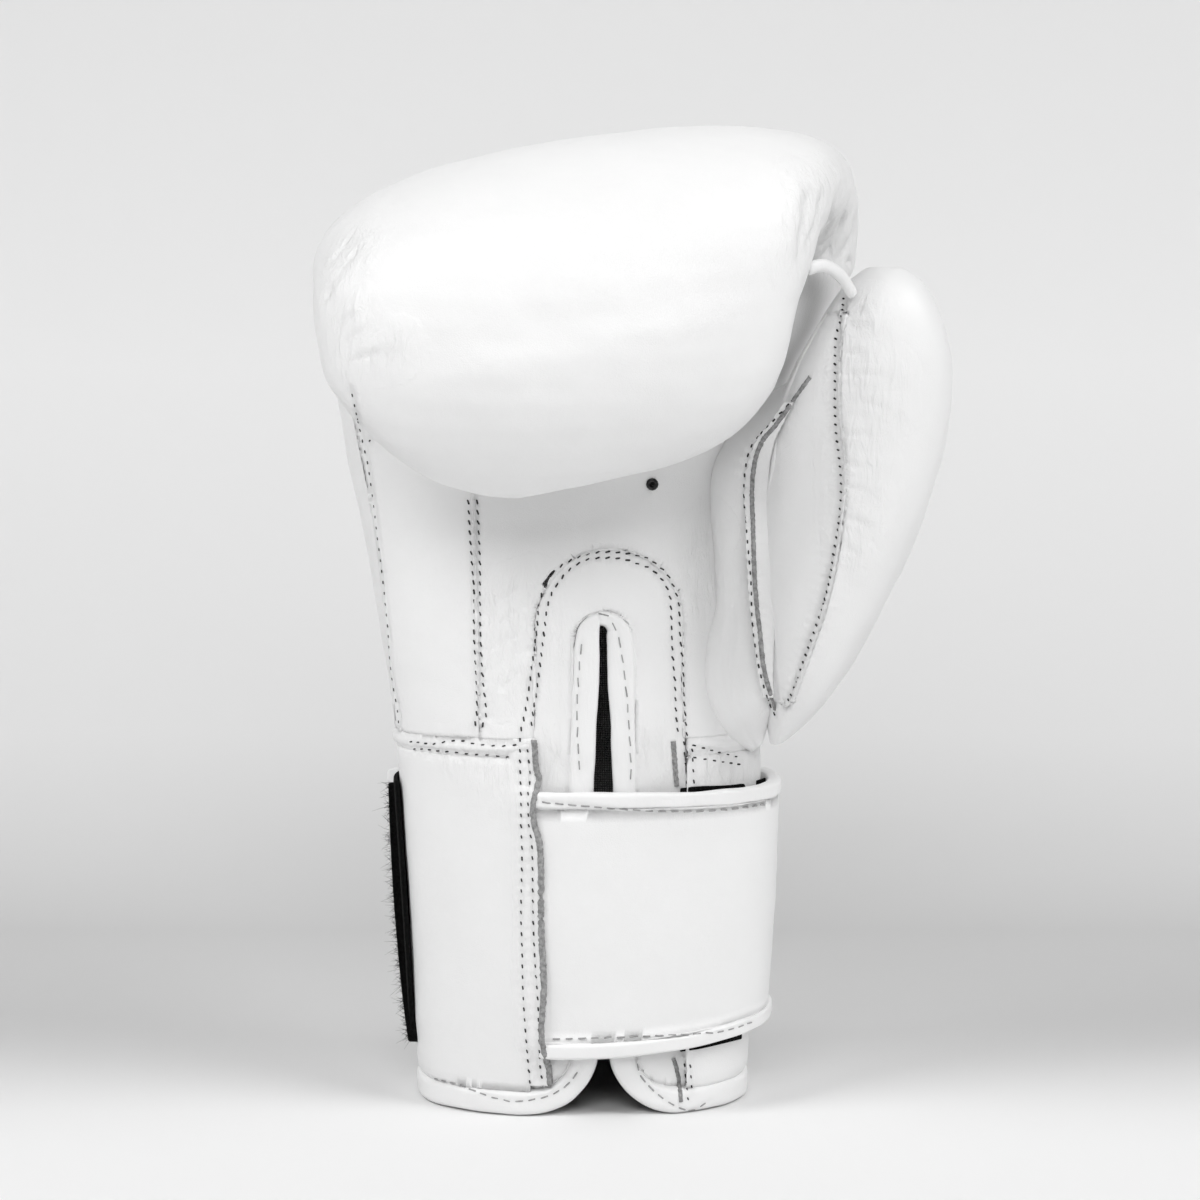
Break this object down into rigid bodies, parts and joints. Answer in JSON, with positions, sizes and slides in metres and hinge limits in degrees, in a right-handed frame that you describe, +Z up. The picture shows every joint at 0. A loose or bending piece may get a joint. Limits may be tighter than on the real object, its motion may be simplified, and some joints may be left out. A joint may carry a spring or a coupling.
{
  "type": "boxing glove",
  "caption": "Padded leather boxing glove for the right hand, with a curled fist, an attached thumb and a wide hook-and-loop wrist strap, standing on its cuff.",
  "frame": {"origin": "under the middle of the glove's box, on the ground at the hem", "axes": "+Z up from the hem to the fist, +X to the thumb's side, -Y to the palm's side"},
  "size_m": [0.1904, 0.135, 0.2987],
  "materials": {
    "white_leather": "satin",
    "black_tape": "matte",
    "dark_cloth": "matte",
    "dark_metal": "satin"
  },
  "bodies": {
    "root": {"fist_pad": "white_leather", "palm_panel": "white_leather", "palm_side_pad": "white_leather", "palm_tongue": "white_leather", "thumb_pad": "white_leather", "thumb_inner_panel": "white_leather", "thumb_welt": "white_leather", "thumb_link": "white_leather", "wrist_welt": "white_leather", "cuff_wall": "white_leather", "edge_binding": "white_leather", "strap": "white_leather", "strap_binding_top": "white_leather", "strap_binding_bottom": "white_leather", "strap_lining": "dark_cloth", "lining": "dark_cloth", "hook_patch": "black_tape", "loop_patch": "black_tape", "vent_eyelet": "dark_metal"}
  },
  "joints": []
}
